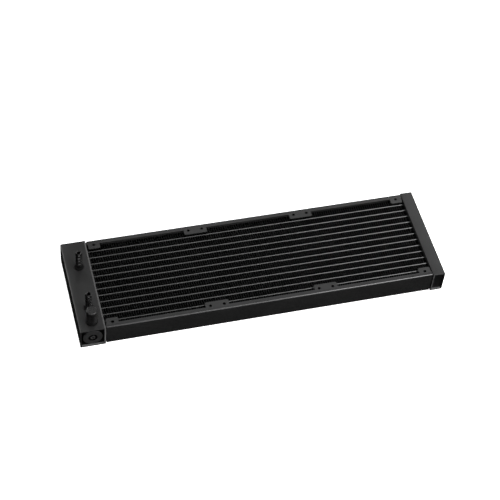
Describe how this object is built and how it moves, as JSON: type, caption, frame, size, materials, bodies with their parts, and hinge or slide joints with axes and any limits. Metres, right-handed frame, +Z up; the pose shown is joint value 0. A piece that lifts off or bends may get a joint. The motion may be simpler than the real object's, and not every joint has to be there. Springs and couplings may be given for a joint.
{
  "type": "liquid cooling radiator",
  "caption": "Long flat liquid cooling radiator with finned flat-tube core, end tanks, screw tabs for a row of fans, upright hose barbs and a capped fill port.",
  "frame": {"origin": "middle of the flat underside, with the radiator lying flat and its hose fittings up", "axes": "+X along the length from the deep inlet tank to the shallow return tank, +Y across the width from the vent end of the inlet tank, +Z up out of the face with the fittings"},
  "size_m": [0.402, 0.12, 0.0515],
  "materials": {
    "tank_paint": "satin black powder coat",
    "rail_paint": "satin black powder coat",
    "core_paint": "thin satin black coat",
    "fitting_black": "semi-gloss black",
    "cap_rubber": "smooth moulded rubber",
    "vent_plastic": "fine matt moulding",
    "insert_rubber": "matt",
    "bag_rubber": "matt"
  },
  "bodies": {
    "radiator": {"inlet_tank": "tank_paint", "inlet_header": "tank_paint", "inlet_front_end_cap": "tank_paint", "inlet_rear_end_cap": "tank_paint", "divider_baffle": "tank_paint", "return_tank": "tank_paint", "return_header": "tank_paint", "return_front_end_cap": "tank_paint", "return_rear_end_cap": "tank_paint", "front_side_rail": "rail_paint", "rear_side_rail": "rail_paint", "front_side_plate": "core_paint", "rear_side_plate": "core_paint", "inlet_fitting": "fitting_black", "outlet_fitting": "fitting_black", "fill_port": "fitting_black", "vent_plug": "vent_plastic", "vent_insert": "insert_rubber", "pressure_bladder": "bag_rubber", "flat_tube_01": "core_paint", "flat_tube_02": "core_paint", "flat_tube_03": "core_paint", "flat_tube_04": "core_paint", "flat_tube_05": "core_paint", "flat_tube_06": "core_paint", "flat_tube_07": "core_paint", "flat_tube_08": "core_paint", "flat_tube_09": "core_paint", "flat_tube_10": "core_paint", "flat_tube_11": "core_paint", "flat_tube_12": "core_paint", "fin_strip_01": "core_paint", "fin_strip_02": "core_paint", "fin_strip_03": "core_paint", "fin_strip_04": "core_paint", "fin_strip_05": "core_paint", "fin_strip_06": "core_paint", "fin_strip_07": "core_paint", "fin_strip_08": "core_paint", "fin_strip_09": "core_paint", "fin_strip_10": "core_paint", "fin_strip_11": "core_paint", "fin_strip_12": "core_paint", "fin_strip_13": "core_paint"},
    "cap": {"fill_cap": "cap_rubber"}
  },
  "joints": [
    {"name": "fill_cap_pull", "type": "slide", "parent": "radiator", "child": "cap", "axis": [0, 0, 1], "range_m": [0, 0.022]}
  ]
}
